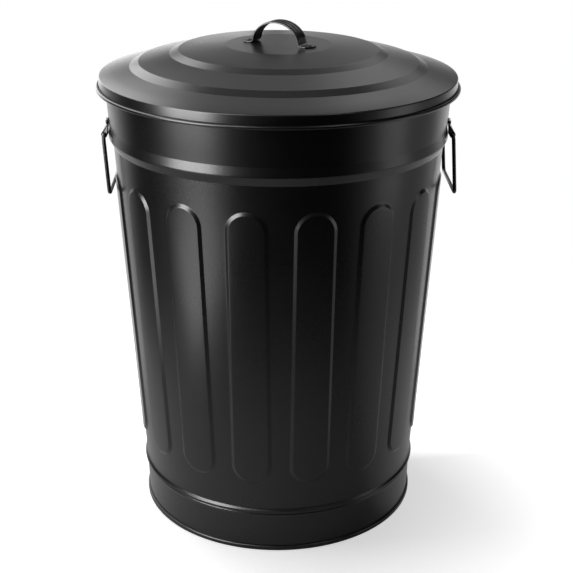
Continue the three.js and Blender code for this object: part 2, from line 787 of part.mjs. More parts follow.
// lid
const lid = new THREE.Group();
can.add(lid);
const handle = new THREE.Group();
handle.rotation.z = radians(strapTurn);
lid.add(handle);
{
  let shell = solidOf(makeLidShell());
  [-1, 1].forEach((end) => {
    const x = end * strapRivetX;
    const turn = radians(strapTurn);
    const hole = rivetHole(lidRivetShank + seatGap, 2 * through);
    shell = shell.subtract(hole.translate([x * Math.cos(turn), x * Math.sin(turn), lidTopHeight]));
  });
  addPiece(lid, 'lid_shell', geometryOf(shell), blackCoat());
}
addPiece(lid, 'lid_rim_wire', wireRing(lidRollCentre, lidWireRadius, 5), bareSteel());
addPiece(handle, 'lid_strap', makeStrap(), blackCoat());
[['left', -1], ['right', 1]].forEach(([name, end]) => {
  const under = lidTopHeight - sheet - seatGap - washerThickness;
  const grip = washerThickness + seatGap + sheet + seatGap + strapSheet;
  const rivet = addPiece(handle, `lid_rivet_${name}`,
    makeRivet(lidRivetShank, lidRivetHead, lidRivetDome, grip), blackCoat());
  rivet.position.set(end * strapRivetX, 0, under);
  const washer = addPiece(handle, `lid_washer_${name}`, makeWasher(), bareSteel());
  washer.position.set(end * strapRivetX, 0, under);
});

export default can;
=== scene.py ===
import math

import bmesh
import bpy
from mathutils import Matrix, Vector


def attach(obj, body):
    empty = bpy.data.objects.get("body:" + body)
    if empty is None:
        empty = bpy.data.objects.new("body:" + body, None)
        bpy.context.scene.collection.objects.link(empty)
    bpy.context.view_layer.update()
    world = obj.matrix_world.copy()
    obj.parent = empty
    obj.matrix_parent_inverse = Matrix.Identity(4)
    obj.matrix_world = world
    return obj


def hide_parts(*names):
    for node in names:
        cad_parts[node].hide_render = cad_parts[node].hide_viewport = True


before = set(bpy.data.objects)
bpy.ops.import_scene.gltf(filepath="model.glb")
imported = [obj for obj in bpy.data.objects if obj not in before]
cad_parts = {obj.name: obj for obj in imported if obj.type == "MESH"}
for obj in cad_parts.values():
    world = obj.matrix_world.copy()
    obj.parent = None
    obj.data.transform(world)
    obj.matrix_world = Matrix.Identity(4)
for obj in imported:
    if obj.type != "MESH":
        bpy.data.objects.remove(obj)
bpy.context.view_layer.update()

mm = 0.001
sheet = 0.7 * mm  # every pressed sheet
upright = (0, 0, 1)
samePlace = 1e-3  # mm, how far apart two places that should meet may be


# helpers for modelling by hand

def letGo():  # an operator acts on all that is selected
    if bpy.context.mode != "OBJECT":
        bpy.ops.object.mode_set(mode="OBJECT")
    bpy.ops.object.select_all(action="DESELECT")


def pickUp(piece):
    letGo()
    piece.select_set(True)
    bpy.context.view_layer.objects.active = piece
    return piece


def edit():
    bpy.ops.object.mode_set(mode="EDIT")
    bpy.ops.mesh.select_mode(type="VERT")


def chooseVerts(test):  # selects the vertices whose place passes the test
    piece = bpy.context.edit_object
    mesh = bmesh.from_edit_mesh(piece.data)
    for face in mesh.faces:
        face.select = False
    for edge in mesh.edges:
        edge.select = False
    for vert in mesh.verts:
        vert.select = bool(test(vert.co))
    mesh.select_flush(True)
    bmesh.update_edit_mesh(piece.data)


def moveChosen(place):  # gives each selected vertex a new place
    piece = bpy.context.edit_object
    mesh = bmesh.from_edit_mesh(piece.data)
    for vert in mesh.verts:
        if vert.select:
            vert.co = place(vert.co)
    bmesh.update_edit_mesh(piece.data)


def namePiece(name):
    piece = bpy.context.active_object
    piece.name = name
    piece.data.name = name
    return piece


def settle(piece, angle=32):  # puts the origin at the world's and smooths all but sharp edges
    pickUp(piece)
    bpy.ops.object.transform_apply(location=True, rotation=True, scale=True)
    bpy.ops.object.shade_smooth_by_angle(angle=math.radians(angle))
    return piece


def faceOut(merge=0.002 * mm):
    bpy.ops.mesh.select_all(action="SELECT")
    bpy.ops.mesh.remove_doubles(threshold=merge)
    bpy.ops.mesh.normals_make_consistent(inside=False)


def thicken(piece, thickness):  # the sheet's middle surface gets its two faces
    pickUp(piece)
    wall = piece.modifiers.new("sheet", "SOLIDIFY")
    wall.thickness = thickness
    wall.offset = 0
    wall.use_even_offset = True
    bpy.ops.object.modifier_apply(modifier=wall.name)


def roundEdges(piece, width, segments=3, angle=35):
    pickUp(piece)
    soft = piece.modifiers.new("edges", "BEVEL")
    soft.width = width
    soft.segments = segments
    soft.limit_method = "ANGLE"
    soft.angle_limit = math.radians(angle)
    soft.harden_normals = False
    bpy.ops.object.modifier_apply(modifier=soft.name)


# a line of (radius, height) points, in mm, drawn as a designer draws a section

def arcPoints(centre, radius, start, end, steps):
    turns = [math.radians(start + (end - start) * i / steps) for i in range(steps + 1)]
    return [(centre[0] + radius * math.cos(t), centre[1] + radius * math.sin(t)) for t in turns]


def filleted(points, radii, steps=5):  # rounds the corners of a line; radii is by corner index
    out = []
    for i, here in enumerate(points):
        radius = radii.get(i, 0)
        if not radius or i in (0, len(points) - 1):
            out.append(here)
            continue
        p = Vector(here)
        a = (Vector(points[i - 1]) - p)
        b = (Vector(points[i + 1]) - p)
        half = a.angle(b) / 2
        reach = min(radius / math.tan(half), 0.48 * a.length, 0.48 * b.length)
        radius = reach * math.tan(half)
        a.normalize()
        b.normalize()
        centre = p + (a + b).normalized() * (radius / math.sin(half))
        start = p + a * reach - centre
        end = p + b * reach - centre
        sweep = math.atan2(start.x * end.y - start.y * end.x, start.dot(end))
        for k in range(steps + 1):
            t = sweep * k / steps
            c, s = math.cos(t), math.sin(t)
            out.append((centre.x + start.x * c - start.y * s,
                        centre.y + start.x * s + start.y * c))
    return out


def extrudeLine(points):  # one selected vertex is extruded from point to point, in XZ
    for (x0, z0), (x1, z1) in zip(points, points[1:]):
        step = ((x1 - x0) * mm, 0, (z1 - z0) * mm)
        bpy.ops.mesh.extrude_vertices_move(TRANSFORM_OT_translate={"value": step})


def startVertex(point):
    letGo()
    bpy.ops.mesh.primitive_plane_add(size=2 * mm, location=(point[0] * mm, 0, point[1] * mm))
    bpy.ops.object.transform_apply(location=True, rotation=False, scale=False)
    edit()
    bpy.ops.mesh.select_all(action="SELECT")
    bpy.ops.mesh.merge(type="CENTER")


def spinShell(name, points, steps=256):  # a section drawn once and spun round the can's axis
    startVertex(points[0])
    extrudeLine(points)
    bpy.ops.mesh.select_all(action="SELECT")
    bpy.ops.mesh.spin(steps=steps, angle=2 * math.pi, center=(0, 0, 0), axis=upright)
    faceOut()
    return namePiece(name)


def extrudeRings(points, first):  # the selected ring follows a line of (radius, height) points
    radius, height = first
    for newRadius, newHeight in points:
        ratio = newRadius / radius
        bpy.ops.mesh.extrude_edges_move(
            TRANSFORM_OT_translate={"value": (0, 0, (newHeight - height) * mm)})
        bpy.ops.transform.resize(value=(ratio, ratio, 1), center_override=(0, 0, 0))
        radius, height = newRadius, newHeight


# shader maths: an expression on a wrapped socket adds its nodes

class Wire:
    def __init__(self, tree, socket):
        self.tree = tree
        self.socket = socket

    def math(self, operation, other, swapped=False):
        node = self.tree.nodes.new("ShaderNodeMath")
        node.operation = operation
        pair = (other, self) if swapped else (self, other)
        for slot, value in zip(node.inputs, pair):
            if isinstance(value, Wire):
                self.tree.links.new(value.socket, slot)
            else:
                slot.default_value = value
        return Wire(self.tree, node.outputs[0])

    def __add__(self, other): return self.math("ADD", other)
    def __radd__(self, other): return self.math("ADD", other, True)
    def __sub__(self, other): return self.math("SUBTRACT", other)
    def __rsub__(self, other): return self.math("SUBTRACT", other, True)
    def __mul__(self, other): return self.math("MULTIPLY", other)
    def __rmul__(self, other): return self.math("MULTIPLY", other, True)


class Finish:
    def __init__(self, name):
        self.material = bpy.data.materials.new(name)
        self.material.use_nodes = True
        self.tree = self.material.node_tree
        self.tree.nodes.clear()

    def node(self, kind, settings=None, sockets=None, output=0):
        node = self.tree.nodes.new("ShaderNode" + kind)
        for key, value in (settings or {}).items():
            if key == "stops":
                ramp = node.color_ramp
                while len(ramp.elements) < len(value):
                    ramp.elements.new(0.5)
                for element, (place, colour) in zip(ramp.elements, value):
                    element.position = place
                    element.color = colour
            else:
                setattr(node, key, value)
        for key, value in (sockets or {}).items():
            if isinstance(value, Wire):
                self.tree.links.new(value.socket, node.inputs[key])
            else:
                node.inputs[key].default_value = value
        return Wire(self.tree, node.outputs[output])

    def finish(self, shader):
        out = self.tree.nodes.new("ShaderNodeOutputMaterial")
        self.tree.links.new(shader.socket, out.inputs["Surface"])
        return self.material


def grey(value, warm=0.0):
    return (value * (1 + warm), value, value * (1 - warm), 1)


def makeCoat(name, coat):  # satin black coating baked on steel
    make = Finish(name)
    place = make.node("TexCoord", output=3)
    speckle = make.node("TexNoise", sockets={
        "Vector": place, "Scale": coat["speckleScale"], "Detail": 3.0, "Roughness": 0.6})
    cloud = make.node("TexNoise", sockets={
        "Vector": place, "Scale": coat["cloudScale"], "Detail": 4.0, "Roughness": 0.55})
    buckle = make.node("TexNoise", sockets={
        "Vector": place, "Scale": coat["buckleScale"], "Detail": 1.0, "Roughness": 0.4})
    scuff = make.node("TexNoise", sockets={
        "Vector": make.node("Mapping", sockets={
            "Vector": place, "Scale": (1.0, 1.0, coat["scuffStretch"])}),
        "Scale": coat["scuffScale"], "Detail": 5.0, "Roughness": 0.7})
    marks = make.node("ValToRGB", {
        "stops": [(coat["scuffStart"], grey(0)), (coat["scuffEnd"], grey(1))]}, {"Fac": scuff})
    tint = make.node("Mix", {"data_type": "RGBA"}, {
        0: cloud, 6: coat["dark"], 7: coat["light"]}, output=2)
    tint = make.node("Mix", {"data_type": "RGBA"}, {
        0: marks * coat["scuffTint"], 6: tint, 7: coat["scuffColour"]}, output=2)
    rough = coat["roughness"] + (cloud - 0.5) * coat["roughSpread"] \
        + (speckle - 0.5) * coat["roughGrain"] + marks * coat["scuffRough"]
    height = speckle * coat["speckleHeight"] + buckle * coat["buckleHeight"]
    bump = make.node("Bump", sockets={"Strength": 1.0, "Distance": 1.0, "Height": height})
    return make.finish(make.node("BsdfPrincipled", sockets={
        "Base Color": tint, "Roughness": rough, "Metallic": 0.0, "Normal": bump,
        "Specular IOR Level": coat["gloss"]}))


coatLook = {
    "speckleScale": 700.0, "speckleHeight": 0.000004,
    "cloudScale": 9.0, "buckleScale": 7.0, "buckleHeight": 0.0009,
    "scuffScale": 60.0, "scuffStretch": 0.25, "scuffStart": 0.60, "scuffEnd": 0.78,
    "scuffTint": 0.1, "scuffRough": 0.04,
    "dark": grey(0.0065), "light": grey(0.0105), "scuffColour": grey(0.03),
    "roughness": 0.29, "roughSpread": 0.08, "roughGrain": 0.08,
    "gloss": 0.55,
}
blackCoat = makeCoat("satinBlackCoat", coatLook)
wireCoat = makeCoat("satinBlackWire", {
    **coatLook, "cloudScale": 60.0, "buckleHeight": 0.0, "roughness": 0.3})
strapCoat = makeCoat("satinBlackStrap", {
    **coatLook, "cloudScale": 90.0, "buckleHeight": 0.0, "speckleHeight": 0.00001,
    "roughness": 0.32, "roughGrain": 0.2})


def makeSteel(name, steel):  # plain drawn steel, seen only inside the rolled edges and lid
    make = Finish(name)
    place = make.node("TexCoord", output=3)
    drawn = make.node("TexNoise", sockets={
        "Vector": place, "Scale": steel["scale"], "Detail": 6.0, "Roughness": 0.7})
    tint = make.node("Mix", {"data_type": "RGBA"}, {
        0: drawn, 6: steel["dark"], 7: steel["light"]}, output=2)
    bump = make.node("Bump", sockets={"Strength": 1.0, "Distance": 1.0,
                                      "Height": drawn * steel["height"]})
    return make.finish(make.node("BsdfPrincipled", sockets={
        "Base Color": tint, "Roughness": steel["roughness"] + drawn * steel["roughSpread"],
        "Metallic": 1.0, "Normal": bump}))


plainSteel = makeSteel("plainSteel", {
    "scale": 400.0, "dark": grey(0.32), "light": grey(0.55), "height": 0.00001,
    "roughness": 0.28, "roughSpread": 0.15})
print("finishes made")


# can wall: one panel's sector is shaped flat, wrapped on the cone and copied round

wall = {  # mm; the swage, the panels' rise and the lip are nearer to the photo than the solid's
    "footRadius": 185.6, "taper": 0.0582, "panels": 16,
    "panelWidth": 54.0, "panelBottom": 102.6, "panelTop": 482.0, "rise": 2.4,
    "flankStart": 0.7, "flankEnd": 5.0, "flankRound": 1.5, "plainOut": 3.0, "plainIn": 9.0,
    "regionTop": 496.0, "regionBottom": 91.0,
    "swageBottom": 514.5, "swageCrest": 526.3, "swageTop": 538.0, "swageRise": 2.4,
    "creaseRound": 1.4, "crestRound": 4.0, "swageReach": 12.0,
    "bandOffset": 3.1, "bandTop": 575.0, "wireRadius": 2.4, "gap": 0.3, "height": 602.5,
    "rollEnd": -150.0, "rollSteps": 26,
    "lipTop": 68.0, "lipReach": 80.0, "lipStart": 64.0, "lipBend": 61.2, "lipBottom": 59.3,
    "lipFlare": 3.0, "lipLean": 0.3, "lipRound": 3.2, "lipEdge": 0.7,
    "capSegments": 32, "sideSegments": 12, "cornerStep": 7, "plateauRings": 5, "outerCuts": 3,
}
halfSheet = sheet / mm / 2


def coneRadius(z):
    return wall["footRadius"] + wall["taper"] * z


def bandRadius(z):
    return coneRadius(z) + wall["bandOffset"]


def swageLine():  # outside of the wall from the panels' end up to the band
    crest, top, low = wall["swageCrest"], wall["swageTop"], wall["swageBottom"]
    under, over = low - wall["swageReach"], top + wall["swageReach"]
    line = [(coneRadius(under), under), (coneRadius(low), low),
            (bandRadius(crest) + wall["swageRise"], crest), (bandRadius(top), top),
            (bandRadius(over), over)]
    return filleted(line, {
        1: wall["creaseRound"], 2: wall["crestRound"], 3: wall["creaseRound"]}, steps=6)


rimRoll = wall["wireRadius"] + wall["gap"] + halfSheet
rimHeight = wall["height"] - rimRoll - halfSheet
rimCentre = (bandRadius(rimHeight) - halfSheet + rimRoll, rimHeight)


def makeCanWall():
    zTop = wall["panelTop"] - wall["panelWidth"] / 2
    zLow = wall["panelBottom"] + wall["panelWidth"] / 2
    half = wall["panelWidth"] / 2
    halfPitch = math.pi / wall["panels"]
    cap, side, corner = wall["capSegments"], wall["sideSegments"], wall["cornerStep"]
    count = 2 * (cap + side)
    rise = wall["rise"]
    flank = filleted([(-wall["plainOut"], 0.0), (wall["flankStart"], 0.0),
                      (wall["flankEnd"], rise), (wall["plainIn"], rise)],
                     {1: wall["flankRound"], 2: wall["flankRound"]}, steps=4)
    widest = half - flank[0][0]

    def ringPlace(radius):  # keeps the panel's round-ended outline at any distance from its spine
        def place(p):
            middle = min(max(p.z / mm, zLow), zTop)
            away = Vector((p.x / mm, p.z / mm - middle)).normalized() * radius
            return Vector((away.x * mm, p.y, (middle + away.y) * mm))
        return place

    def openOut(p):  # the circle's vertices go round the outline in the same order
        j = round(math.atan2(p.z, p.x) % (2 * math.pi) / (2 * math.pi) * count) % count
        if j <= cap:
            turn, middle = math.pi * j / cap, zTop
        elif j < cap + side:
            return Vector((-widest * mm, 0, (zTop - (zTop - zLow) * (j - cap) / side) * mm))
        elif j <= 2 * cap + side:
            turn, middle = math.pi * (1 + (j - cap - side) / cap), zLow
        else:
            z = zLow + (zTop - zLow) * (j - 2 * cap - side) / side
            return Vector((widest * mm, 0, z * mm))
        return Vector((widest * math.cos(turn) * mm, 0, (middle + widest * math.sin(turn)) * mm))

    def border(p):  # where a vertex of the widest ring meets the sector's edge
        x, z = p.x / mm, p.z / mm
        hand = math.copysign(1, x)
        middle = min(max(z, zLow), zTop)
        if abs(z - middle) < samePlace:
            return Vector((hand * halfPitch * coneRadius(z) * mm, 0, p.z))
        edge = wall["regionTop"] if middle == zTop else wall["regionBottom"]
        step = round(math.atan2(abs(z - middle), abs(x)) / math.pi * cap)
        if step <= corner:
            z = middle + (edge - middle) * step / corner
            return Vector((hand * halfPitch * coneRadius(z) * mm, 0, z * mm))
        across = halfPitch * coneRadius(edge) * (cap / 2 - step) / (cap / 2 - corner)
        return Vector((hand * across * mm, 0, edge * mm))

    letGo()
    bpy.ops.mesh.primitive_circle_add(vertices=count, radius=widest * mm, fill_type="NOTHING",
                                      rotation=(math.pi / 2, 0, 0))
    bpy.ops.object.transform_apply(location=True, rotation=True, scale=True)
    piece = namePiece("canWall")
    edit()
    bpy.ops.mesh.select_all(action="SELECT")
    moveChosen(openOut)

    # out to the sector's edge, with cuts across the plain sheet
    bpy.ops.mesh.extrude_edges_move(TRANSFORM_OT_translate={"value": (0, 0, 0)})
    moveChosen(border)
    mesh = bmesh.from_edit_mesh(piece.data)
    spokes = [e for e in mesh.edges if e.verts[0].select != e.verts[1].select]
    bpy.ops.mesh.select_mode(type="EDGE")
    bpy.ops.mesh.select_all(action="DESELECT")
    for edge in spokes:
        edge.select_set(True)
    bmesh.update_edit_mesh(piece.data)
    bpy.ops.mesh.subdivide(number_cuts=wall["outerCuts"])
    bpy.ops.mesh.select_mode(type="VERT")

    # in over the flank and across the panel to its spine
    def fromSpine(p):
        middle = min(max(p.z / mm, zLow), zTop)
        return math.hypot(p.x / mm, p.z / mm - middle)
    chooseVerts(lambda p: abs(fromSpine(p) - widest) < samePlace)
    for (d0, h0), (d1, h1) in zip(flank, flank[1:]):
        bpy.ops.mesh.extrude_edges_move(
            TRANSFORM_OT_translate={"value": (0, -(h1 - h0) * mm, 0)})
        moveChosen(ringPlace(half - d1))
    inner = half - flank[-1][0]
    for i in reversed(range(wall["plateauRings"])):
        bpy.ops.mesh.extrude_edges_move(TRANSFORM_OT_translate={"value": (0, 0, 0)})
        moveChosen(ringPlace(max(inner * i / wall["plateauRings"], 1e-4)))
    bpy.ops.mesh.select_all(action="SELECT")
    bpy.ops.mesh.remove_doubles(threshold=0.003 * mm)

    def wrap(p):  # flat (across, height, rise) goes round the tapered wall
        z = p.z / mm
        turn = -math.pi / 2 + halfPitch + p.x / mm / coneRadius(z)
        radius = (coneRadius(z) - halfSheet - p.y / mm) * mm
        return Vector((radius * math.cos(turn), radius * math.sin(turn), p.z))
    bpy.ops.mesh.select_all(action="SELECT")
    moveChosen(wrap)
    share = (wall["panels"] - 1) / wall["panels"]
    bpy.ops.mesh.spin(steps=wall["panels"] - 1, angle=2 * math.pi * share, dupli=True,
                      center=(0, 0, 0), axis=upright)
    bpy.ops.mesh.select_all(action="SELECT")
    bpy.ops.mesh.remove_doubles(threshold=0.01 * mm)

    # the swage, the band and the rolled edge go up from the panels' top
    def rowOf(points):
        return [(x - halfSheet, z) for x, z in points]
    upper = rowOf(swageLine() + [(bandRadius(wall["bandTop"]), wall["bandTop"])])
    upper += arcPoints(rimCentre, rimRoll, 180, wall["rollEnd"], wall["rollSteps"])
    chooseVerts(lambda p: abs(p.z / mm - wall["regionTop"]) < samePlace)
    extrudeRings(upper, (coneRadius(wall["regionTop"]) - halfSheet, wall["regionTop"]))

    # the flared lip goes down from their foot
    reach, start, bend = wall["lipReach"], wall["lipStart"], wall["lipBend"]
    end = wall["lipBottom"]
    lower = rowOf(filleted(
        [(coneRadius(reach), reach), (coneRadius(start), start),
         (coneRadius(bend) + wall["lipFlare"] - wall["lipLean"], bend),
         (coneRadius(end) + wall["lipFlare"], end)],
        {1: wall["lipRound"], 2: wall["lipEdge"]}, steps=6))
    chooseVerts(lambda p: abs(p.z / mm - wall["regionBottom"]) < samePlace)
    extrudeRings(lower, (coneRadius(wall["regionBottom"]) - halfSheet, wall["regionBottom"]))
    faceOut()
    thicken(piece, sheet)
    settle(piece)
    piece.data.materials.append(blackCoat)
    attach(piece, "can")
    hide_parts("can_wall")


makeCanWall()
print("can wall made")


# lock seam: the folded strip down the back of the wall

seam = {"width": 8.0, "rise": 0.9, "low": 66.0, "high": 513.0, "round": 0.5}


def makeSeam():
    letGo()
    bpy.ops.mesh.primitive_cube_add(size=2 * mm)
    piece = namePiece("canSeam")
    edit()
    bpy.ops.mesh.select_all(action="SELECT")

    def place(p):
        z = seam["low"] if p.z < 0 else seam["high"]
        out = coneRadius(z) + (seam["rise"] if p.y > 0 else -halfSheet)
        return Vector((math.copysign(seam["width"] / 2, p.x) * mm, out * mm, z * mm))
    moveChosen(place)
    faceOut()
    settle(piece)
    roundEdges(piece, seam["round"] * mm)
    settle(piece)
    piece.data.materials.append(blackCoat)
    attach(piece, "can")


makeSeam()


# foot hoop and raised floor

hoop = {
    "footRadius": 187.3, "topRadius": 189.0, "ridge": 54.3, "ridgeRise": 0.6, "ridgeCrown": 0.6,
    "ridgeFoot": 1.9, "round": 0.8, "tuck": 6.0, "joggle": 1.0,
    "rollDepth": 3.4, "rollHeight": 6.5, "rollStart": 0.01, "gap": 0.3,
    "flange": 14.0, "floorRound": 3.0, "floorRings": (0, 60, 120),
}


def makeHoop():
    def inside(z):
        return coneRadius(z) - 3 * halfSheet - hoop["gap"]
    high = wall["lipTop"] + hoop["tuck"]
    roll = hoop["rollDepth"] / 2 - halfSheet
    low = (hoop["footRadius"] - halfSheet + roll, roll + halfSheet)
    upper = (low[0], hoop["rollHeight"] - low[1])
    face = hoop["topRadius"] - halfSheet
    crown = face + hoop["ridgeRise"]
    over, under = wall["lipBottom"] + hoop["joggle"], wall["lipBottom"] - hoop["joggle"]
    line = [
        (inside(high), high), (inside(over), over), (face, under),
        (face, hoop["ridge"] + hoop["ridgeFoot"]), (crown, hoop["ridge"] + hoop["ridgeCrown"]),
        (crown, hoop["ridge"] - hoop["ridgeCrown"]), (face, hoop["ridge"] - hoop["ridgeFoot"]),
        (hoop["footRadius"] - halfSheet, low[1] + hoop["rollStart"])]
    line = filleted(line, {i: hoop["round"] for i in range(1, len(line) - 1)}, steps=4)
    line += arcPoints(low, roll, 180, 360, 12)[1:] + arcPoints(upper, roll, 0, 135, 9)
    piece = spinShell("footHoop", line)
    thicken(piece, sheet)
    settle(piece)
    piece.data.materials.append(blackCoat)
    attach(piece, "can")
    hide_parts("base_hoop")


def makeFloor():
    high = wall["lipTop"] + hoop["tuck"]

    def inside(z):
        return coneRadius(z) - 2 * (2 * halfSheet + hoop["gap"]) - halfSheet
    level = high - halfSheet
    foot = high - hoop["flange"]
    line = [(x, level) for x in hoop["floorRings"]]
    line += [(inside(level), level), (inside(foot), foot)]
    piece = spinShell("raisedFloor", filleted(line, {3: hoop["floorRound"]}, steps=5), 192)
    thicken(piece, sheet)
    settle(piece)
    piece.data.materials.append(blackCoat)
    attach(piece, "can")
    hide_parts("bottom_pan")


makeHoop()
makeFloor()
print("foot hoop and floor made")


# lid

lid = {
    "slope": 0.27, "stepOneOuter": 191.3, "stepOneInner": 179.8,
    "stepOneRise": 5.9, "stepTwoOuter": 140.2, "stepTwoInner": 128.5, "stepTwoRise": 5.1,
    "middleRise": 9.2, "innerRise": 5.3, "top": 68.5, "discCut": 30.0, "outerCut": 210.0,
    "round": 1.5, "stepRound": 3.5, "topRound": 3.5,
    "skirtPlay": 0.49, "shoulderInset": 1.4, "drop": 14.5, "wireRadius": 1.4, "gap": 0.3,
}
lid["skirt"] = rimCentre[0] + rimRoll + 3 * halfSheet + lid["skirtPlay"]
lid["shoulder"] = lid["skirt"] - lid["shoulderInset"]
lidAngle = math.atan(lid["slope"])
lidTouch = (rimRoll + 3 * halfSheet + lid["gap"]) / math.cos(lidAngle)
lidShoulder = rimCentre[1] + lidTouch - (lid["shoulder"] - rimCentre[0]) * lid["slope"]
lidOuterRise = (lid["shoulder"] - lid["stepOneOuter"]) * lid["slope"]
lidTop = lidShoulder + lidOuterRise + lid["stepOneRise"] + lid["middleRise"] \
    + lid["stepTwoRise"] + lid["innerRise"]


def makeLidShell():
    roll = lid["wireRadius"] + lid["gap"] + halfSheet
    centre = (lid["skirt"] - halfSheet + roll, lidShoulder - lid["drop"])
    top, foot = lidTop - halfSheet, lidShoulder - halfSheet
    shallow = foot + lidOuterRise
    side = lid["skirt"] - halfSheet
    line = [
        (0, top), (lid["discCut"], top), (lid["top"], top),
        (lid["stepTwoInner"], top - lid["innerRise"]),
        (lid["stepTwoOuter"], top - lid["innerRise"] - lid["stepTwoRise"]),
        (lid["stepOneInner"], shallow + lid["stepOneRise"]), (lid["stepOneOuter"], shallow),
        (lid["outerCut"], foot + (lid["shoulder"] - lid["outerCut"]) * lid["slope"]),
        (side, foot - (side - lid["shoulder"]) * lid["slope"]), (side, centre[1] + roll)]
    line = filleted(line, {
        2: lid["topRound"], 3: lid["stepRound"], 4: lid["stepRound"], 5: lid["stepRound"],
        6: lid["stepRound"], 8: lid["round"]}, steps=6)
    line += arcPoints(centre, roll, 180, 480, 24)
    piece = spinShell("lidShell", line, 288)
    thicken(piece, sheet)
    settle(piece)
    piece.data.materials.append(blackCoat)
    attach(piece, "lid")
    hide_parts("lid_shell")


makeLidShell()
print("lid made")


# strap handle on the lid: a flat blank gets its ribs, then is bent along the handle's line

strap = {
    "span": 66.0, "height": 29.3, "width": 24.0, "sheet": 1.4, "rib": 0.8, "ribWidth": 3.6,
    "ribPitch": 7.5, "tab": 17.5, "bend": 5.0, "turn": -28.0, "gap": 0.3, "tabClip": 7.0,
    "archStart": 20.0, "archSteps": 40, "ribFade": 6.0, "alongCuts": 170, "acrossCuts": 61,
    "round": 0.3,
}


def strapLine():
    legs = strap["span"] / 2
    top = strap["height"] - strap["sheet"] - strap["gap"]
    start, steps = strap["archStart"], strap["archSteps"]
    turns = [math.radians(start + (180 - 2 * start) * i / steps) for i in range(steps + 1)]
    arch = [(-legs * math.cos(t), top * math.sin(t)) for t in turns]
    ends = legs + strap["tab"]
    line = [(-ends, 0), (-legs, 0)] + arch + [(legs, 0), (ends, 0)]
    return filleted(line, {1: strap["bend"], len(line) - 2: strap["bend"]}, steps=8)


def makeStrap():
    line = [Vector(point) for point in strapLine()]
    lengths = [0]
    for a, b in zip(line, line[1:]):
        lengths.append(lengths[-1] + (b - a).length)
    total = lengths[-1]
    level = lidTop + strap["gap"] + strap["sheet"] / 2

    def onLine(s):  # the place and the outward direction at a length along the handle
        i = max(k for k in range(len(lengths) - 1) if lengths[k] <= s + 1e-9)
        span = lengths[i + 1] - lengths[i]
        here = line[i].lerp(line[i + 1], (s - lengths[i]) / span)

        def across(k):
            ahead = (line[min(k + 1, len(line) - 1)] - line[max(k - 1, 0)]).normalized()
            return Vector((-ahead.y, ahead.x))
        return here, across(i).lerp(across(i + 1), (s - lengths[i]) / span).normalized()

    def form(p):
        s = (p.x / mm + 1) / 2 * total
        fromTip = min(s, total - s)
        half = strap["width"] / 2 - max(strap["tabClip"] - fromTip, 0)
        side = p.y / mm * half
        ribs = sum(
            0.5 + 0.5 * math.cos(2 * math.pi * (side - middle) / strap["ribWidth"])
            for middle in (-strap["ribPitch"], 0, strap["ribPitch"])
            if abs(side - middle) < strap["ribWidth"] / 2)
        fade = min(max((fromTip - strap["tab"] + 1) / strap["ribFade"], 0), 1)
        here, out = onLine(min(max(s, 0), total))
        place = here + out * strap["rib"] * ribs * fade * fade * (3 - 2 * fade)
        return Vector((place.x * mm, side * mm, (level + place.y) * mm))

    letGo()
    bpy.ops.mesh.primitive_grid_add(x_subdivisions=strap["alongCuts"],
                                    y_subdivisions=strap["acrossCuts"], size=2 * mm)
    piece = namePiece("lidStrap")
    edit()
    bpy.ops.mesh.select_all(action="SELECT")
    moveChosen(form)
    faceOut()
    thicken(piece, strap["sheet"] * mm)
    roundEdges(piece, strap["round"] * mm, 2, 50)
    piece.data.transform(Matrix.Rotation(math.radians(strap["turn"]), 4, "Z"))
    settle(piece, 40)
    piece.data.materials.append(strapCoat)
    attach(piece, "lid")
    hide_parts("lid_strap")


makeStrap()
print("strap made")


# rivets: a domed head, a shank and a clinched end, spun once and set along its own line

lidRivet = {"shank": 2.4, "head": 3.9, "dome": 0.9, "inset": 7.3, "washer": 1.0, "gap": 0.3}
earRivet = {"shank": 1.8, "head": 3.0, "dome": 1.0, "gap": 0.3}


def makeRivet(name, node, body, rivet, grip, place, out):
    shank, head, dome = rivet["shank"], rivet["head"], rivet["dome"]
    low, high = -rivet["gap"], grip + rivet["gap"]
    wide = shank * 1.6  # the clinched end, on the inside
    crown = [(head * math.cos(t), high + dome * (0.15 + 0.85 * math.sin(t)))
             for t in [math.pi / 2 * i / 9 for i in range(9)]]
    line = [(0, low - dome * 0.8), (shank * 0.8, low - dome * 0.76),
            (wide - 0.3, low - dome * 0.5), (wide, low - dome * 0.2), (wide, low),
            (shank, low), (shank, high), (head, high)]
    piece = spinShell(name, line + crown + [(0, high + dome)], 40)
    bpy.ops.object.mode_set(mode="OBJECT")
    turn = Vector(upright).rotation_difference(out).to_matrix().to_4x4()
    piece.data.transform(Matrix.Translation(place) @ turn)
    settle(piece, 40)
    piece.data.materials.append(strapCoat)
    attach(piece, body)
    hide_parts(node)


for hand, side in ((-1, "left"), (1, "right")):
    reach = hand * (strap["span"] / 2 + strap["tab"] - lidRivet["inset"])
    turn = math.radians(strap["turn"])
    under = lidTop - 2 * halfSheet - lidRivet["gap"] - lidRivet["washer"]
    grip = lidRivet["washer"] + 2 * lidRivet["gap"] + 2 * halfSheet + strap["sheet"]
    makeRivet("lidRivet" + side.title(), "lid_rivet_" + side, "lid", lidRivet, grip,
              Vector((reach * math.cos(turn), reach * math.sin(turn), under)) * mm,
              Vector(upright))


# ears: a strap folded round each pin, drawn as one line and extruded across

